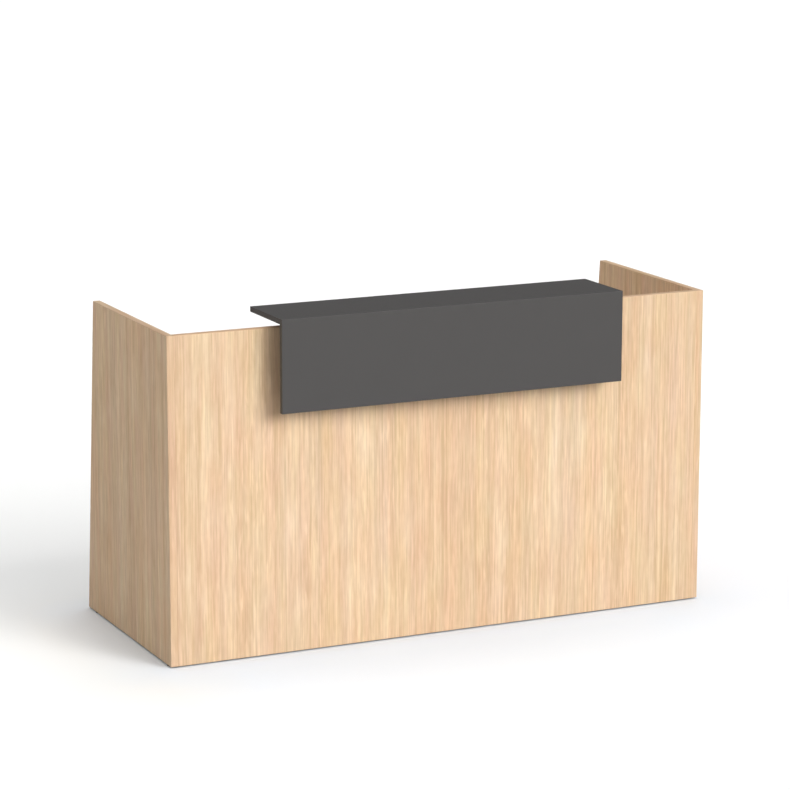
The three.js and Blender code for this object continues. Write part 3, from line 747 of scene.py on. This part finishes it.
# ------------------------------------------------------------------------------------------------ levelling feet
def foot_meshes():
    ring = fillet([(4.4, 4.0), (10.0, 4.0), (10.0, 5.0), (6.0, 5.0), (6.0, 27.0), (4.4, 27.0)], [0.2, 0.4, 0.05, 0.2, 0.4, 0.2], 3)
    insert = revolve(bmesh.new(), ring, 48, closed=True)
    cut_thread = thread(1.25, 3.35, 4.0, 3.6, 44.6, 0.9)
    rows = [(0.0, 1.2), (5.6, 1.2), (5.8, 1.3), (5.8, 1.9), (5.6, 2.0), (3.6, 2.0), (3.35, 2.2)]
    z = 2.4
    while z < 44.2:
        rows.append((3.35, z))
        z += 0.125
    rows += [(3.1, 45.0), (0.0, 45.0)]
    stud = revolve(bmesh.new(), rows, 36, warp=lambda r, z, t: cut_thread(r, z, t) if r == 3.35 else r)
    flutes = lambda r, z, t: r - 0.45 * max(0.0, cos(20.0 * t)) ** 2 if r > 11.0 and 0.5 < z < 3.3 else r
    profile = [(0.0, 0.25), (7.5, 0.25), (8.0, 0.0)] + fillet(
        [(8.0, 0.0), (11.5, 0.0), (11.5, 3.7), (4.7, 3.7), (4.7, 2.2), (6.4, 2.2), (6.4, 1.0), (3.0, 1.0)],
        [0, 0.6, 0.8, 0.15, 0.1, 0.1, 0.1, 0], 4, closed=False)[1:] + [(0.0, 1.0)]
    pad = revolve(bmesh.new(), profile, 160, warp=flutes)
    return (mesh_of("foot_insert", insert, [fixing], place=MILLI), mesh_of("foot_stud", stud, [fixing], place=MILLI),
            mesh_of("foot_pad", pad, [foot_plastic], place=MILLI))


INSERT, STUD, PAD = foot_meshes()
for side, s in (("left", -1.0), ("right", 1.0)):
    for end, y in zip(("front", "rear"), FOOT_Y):
        here, tag = at_place(s * FOOT_X, y, 0.0), f"{end}_{side}_foot"
        piece(f"{tag}_insert_zinc", INSERT, f"{tag}_insert", place=here)
        piece(f"{tag}_stud_zinc", STUD, f"{tag}_stud", f"{end}_{side}_stud", here)
        piece(f"{tag}_pad_plastic", PAD, f"{tag}_pad", f"{end}_{side}_pad", here)

# ------------------------------------------------------------------------------------------------ cable ports
def port_meshes():
    ring = fillet([(37.4, -24.0), (39.2, -24.0), (39.2, 0.0), (45.0, 0.0), (45.0, 2.4), (38.6, 2.4), (38.6, -1.0), (35.4, -1.0), (35.4, -3.0), (37.4, -4.5)],
                  [0.4, 0.4, 0.05, 0.15, 1.5, 0.5, 0.2, 0.3, 0.3, 0.5], 5)
    sleeve = revolve(bmesh.new(), ring, 128, closed=True)
    rim = [(38.0 * cos(a), 38.0 * sin(a)) for a in (math.radians(-70.0 + 320.0 * k / 96.0) for k in range(97))]
    slot_top = [(13.0 * cos(a), -26.0 + 13.0 * sin(a)) for a in (pi - pi * k / 24.0 for k in range(25))]
    outline = rim + slot_top
    radii = [0.0] * len(outline)
    radii[0] = radii[96] = 1.6
    outline = fillet(outline, radii, 5)
    cap = prism(bmesh.new(), outline, "z", -0.7, 2.1)
    soften(cap, lambda e: lies(e, z=2.1), 0.6, 4)
    soften(cap, lambda e: lies(e, z=-0.7), 0.4, 2)
    return (mesh_of("port_sleeve", sleeve, [port_plastic], place=MILLI), mesh_of("port_cap", cap, [port_plastic], place=MILLI))


SLEEVE, CAP = port_meshes()
for side, s in (("left", -1.0), ("right", 1.0)):
    here = at_place(s * PORT_X, PORT_Y, WORKTOP_Z1)
    piece(f"cable_port_{side}_sleeve_plastic", SLEEVE, f"cable_port_{side}_sleeve", place=here)
    piece(f"cable_port_{side}_cap_plastic", CAP, f"cable_port_{side}_cap", f"{side}_port_cap", here)

# ------------------------------------------------------------------------------------------------ floor, light, camera
def floor_disc(name, albedo, painted_cool_front, painted_contact_shade, painted_side_shade, z):
    """A wide floor with painted shade: close round the desk it is painted darker, darkest against it as a painted
    contact shadow, and close in front it is painted a shade cooler, against the warm light off the wood.
    """
    bm = bmesh.new()
    bmesh.ops.create_circle(bm, cap_ends=True, segments=96, radius=120.0)
    mesh = bpy.data.meshes.new(name)
    bm.to_mesh(mesh)
    bm.free()
    o = bpy.data.objects.new(name, mesh)
    o.location.z = z
    scene.collection.objects.link(o)
    f = Finish(name, Roughness=1.0, Specular_IOR_Level=0.0)
    x, y, _ = f.parts(f.place)
    # painted cool tint: close in front of the desk the floor is painted cooler, against the warm light off the wood
    forward = f.math("MULTIPLY", f.range(f.math("MULTIPLY", y, -1.0), 0.30, 0.42),
                     f.range(f.math("ABSOLUTE", x), 0.80, 1.08, 1.0, 0.0))
    # painted shade: close round the desk the floor is painted darker, darkest against it as a painted contact shadow
    side = f.mix(f.range(x, -0.5, 0.5), *painted_side_shade)
    x, y = (f.math("MAXIMUM", f.math("SUBTRACT", f.math("ABSOLUTE", c), half), 0.0) for c, half in ((x, 1.0), (y, 0.36)))
    away = f.math("SQRT", f.math("MULTIPLY_ADD", x, x, f.math("MULTIPLY", y, y)))
    near = f.mix(f.range(away, 0.0, 0.24), painted_contact_shade, side)
    f.set("Base Color", f.mix(forward, f.mix(f.range(away, 0.24, 0.8), near, albedo),
                              f.ramp(f.range(away, 0.0, 0.8), [(0.0, painted_cool_front), (1.0, albedo)])))
    mesh.materials.append(f.material)
    return o


# The white floor that is seen, and under it a greyer one that sends less light back up at the desk.
# The seen floor carries painted shade close round the desk and a painted cool tint in front of it.
floor = floor_disc("floor", (0.945, 0.940, 0.920), (0.800, 0.880, 0.975), (0.820, 0.850, 0.880),
                   ((0.872, 0.872, 0.854), (0.868, 0.884, 0.912)), 0.0)
bounce = floor_disc("floor_bounce", (0.45, 0.45, 0.45), (0.44, 0.45, 0.46), (0.44, 0.45, 0.46),
                    ((0.443, 0.45, 0.457), (0.443, 0.45, 0.457)), -0.0005)
floor.visible_diffuse = floor.visible_glossy = floor.visible_shadow = False
bounce.visible_camera = False

# a white wall far off, for low views only: it neither lights nor shades anything
bm = bmesh.new()
rows = [[bm.verts.new((60.0 * cos(2 * pi * k / 96), 60.0 * sin(2 * pi * k / 96), z)) for k in range(96)] for z in (-2.0, 60.0)]
for k in range(96):
    bm.faces.new((rows[0][k], rows[0][(k + 1) % 96], rows[1][(k + 1) % 96], rows[1][k]))
wall_mesh = bpy.data.meshes.new("backdrop")
bm.to_mesh(wall_mesh)
bm.free()
backdrop = bpy.data.objects.new("backdrop", wall_mesh)
scene.collection.objects.link(backdrop)
f = Finish("backdrop", Emission_Strength=1.0)
f.bsdf.inputs["Base Color"].default_value = (0.0, 0.0, 0.0, 1.0)
f.bsdf.inputs["Emission Color"].default_value = (1.0, 1.0, 1.0, 1.0)
f.bsdf.inputs["Specular IOR Level"].default_value = 0.0
wall_mesh.materials.append(f.material)
backdrop.visible_diffuse = backdrop.visible_glossy = backdrop.visible_transmission = backdrop.visible_shadow = False

# a pale room, lightest overhead and to the left
world = bpy.data.worlds.new("studio")
scene.world = world
world.use_nodes = True
sky = world.node_tree
towards = sky.nodes.new("ShaderNodeSeparateXYZ")
sky.links.new(sky.nodes.new("ShaderNodeTexCoord").outputs["Generated"], towards.inputs[0])
glow = None
for axis, end, most in ((0, -1.0, 0.502), (1, 1.0, 0.158), (2, 1.0, 0.450)):
    part = sky.nodes.new("ShaderNodeMapRange")
    part.inputs["From Max"].default_value = end
    part.inputs["To Max"].default_value = most
    sky.links.new(towards.outputs[axis], part.inputs["Value"])
    if glow is None:
        glow = part.outputs[0]
        continue
    both = sky.nodes.new("ShaderNodeMath")
    both.operation = "ADD"
    sky.links.new(glow, both.inputs[0])
    sky.links.new(part.outputs[0], both.inputs[1])
    glow = both.outputs[0]
sky.nodes["Background"].inputs["Color"].default_value = (1.0, 1.0, 1.0, 1.0)
sky.links.new(glow, sky.nodes["Background"].inputs["Strength"])


def sun(name, azimuth, elevation, strength, spread):
    """A far soft box. Azimuth is to the right of the desk's front, as the visitor sees it."""
    lamp = bpy.data.lights.new(name, "SUN")
    lamp.energy, lamp.angle = strength, math.radians(spread)
    o = bpy.data.objects.new(name, lamp)
    a, e = math.radians(azimuth), math.radians(elevation)
    towards = Vector((sin(a) * cos(e), -cos(a) * cos(e), sin(e)))
    o.rotation_euler = towards.to_track_quat("Z", "Y").to_euler()
    scene.collection.objects.link(o)
    return o


# a wide soft box low in front of the desk and to its right, in overlapping strips, and a fill behind the desk
sun("key_front", 8.0, 18.0, 0.219 * pi, 22.0)
sun("key_low", 28.0, 18.0, 0.191 * pi, 22.0)
sun("key_high", 28.0, 33.0, 0.355 * pi, 22.0)
sun("key_right", 48.0, 18.0, 0.144 * pi, 22.0)
sun("rear_fill", 180.0, 12.0, 0.13 * pi, 40.0).visible_glossy = False
# two overhead lights for the floor alone keep it white
lit = bpy.data.collections.new("floor_only")
lit.objects.link(floor)
lit.objects.link(bounce)
for o in (sun("floor_wash_front", 30.0, 80.0, 0.151 * pi, 20.0), sun("floor_wash_rear", 150.0, 75.0, 0.191 * pi, 30.0)):
    o.data.color = (0.965, 0.995, 1.035)
    o.light_linking.receiver_collection = lit

lens = bpy.data.cameras.new("camera")
lens.sensor_fit, lens.sensor_width, lens.lens = "HORIZONTAL", 36.0, 140.07
lens.clip_start, lens.clip_end = 0.1, 400.0
camera = bpy.data.objects.new("camera", lens)
yaw, pitch, roll = math.radians(25.155), math.radians(12.081), math.radians(0.043)
look = Vector((sin(yaw) * cos(pitch), cos(yaw) * cos(pitch), -sin(pitch)))
right = Vector((cos(yaw), -sin(yaw), 0.0))
up = right.cross(look)
right, up = right * cos(roll) + up * sin(roll), up * cos(roll) - right * sin(roll)
camera.matrix_world = Matrix.Translation((-4.4603, -9.4600, 3.0003)) @ Matrix((
    (right.x, up.x, -look.x, 0.0), (right.y, up.y, -look.y, 0.0), (right.z, up.z, -look.z, 0.0), (0.0, 0.0, 0.0, 1.0)))
scene.collection.objects.link(camera)
scene.camera = camera
scene.view_settings.view_transform = "Standard"
scene.view_settings.look = "None"
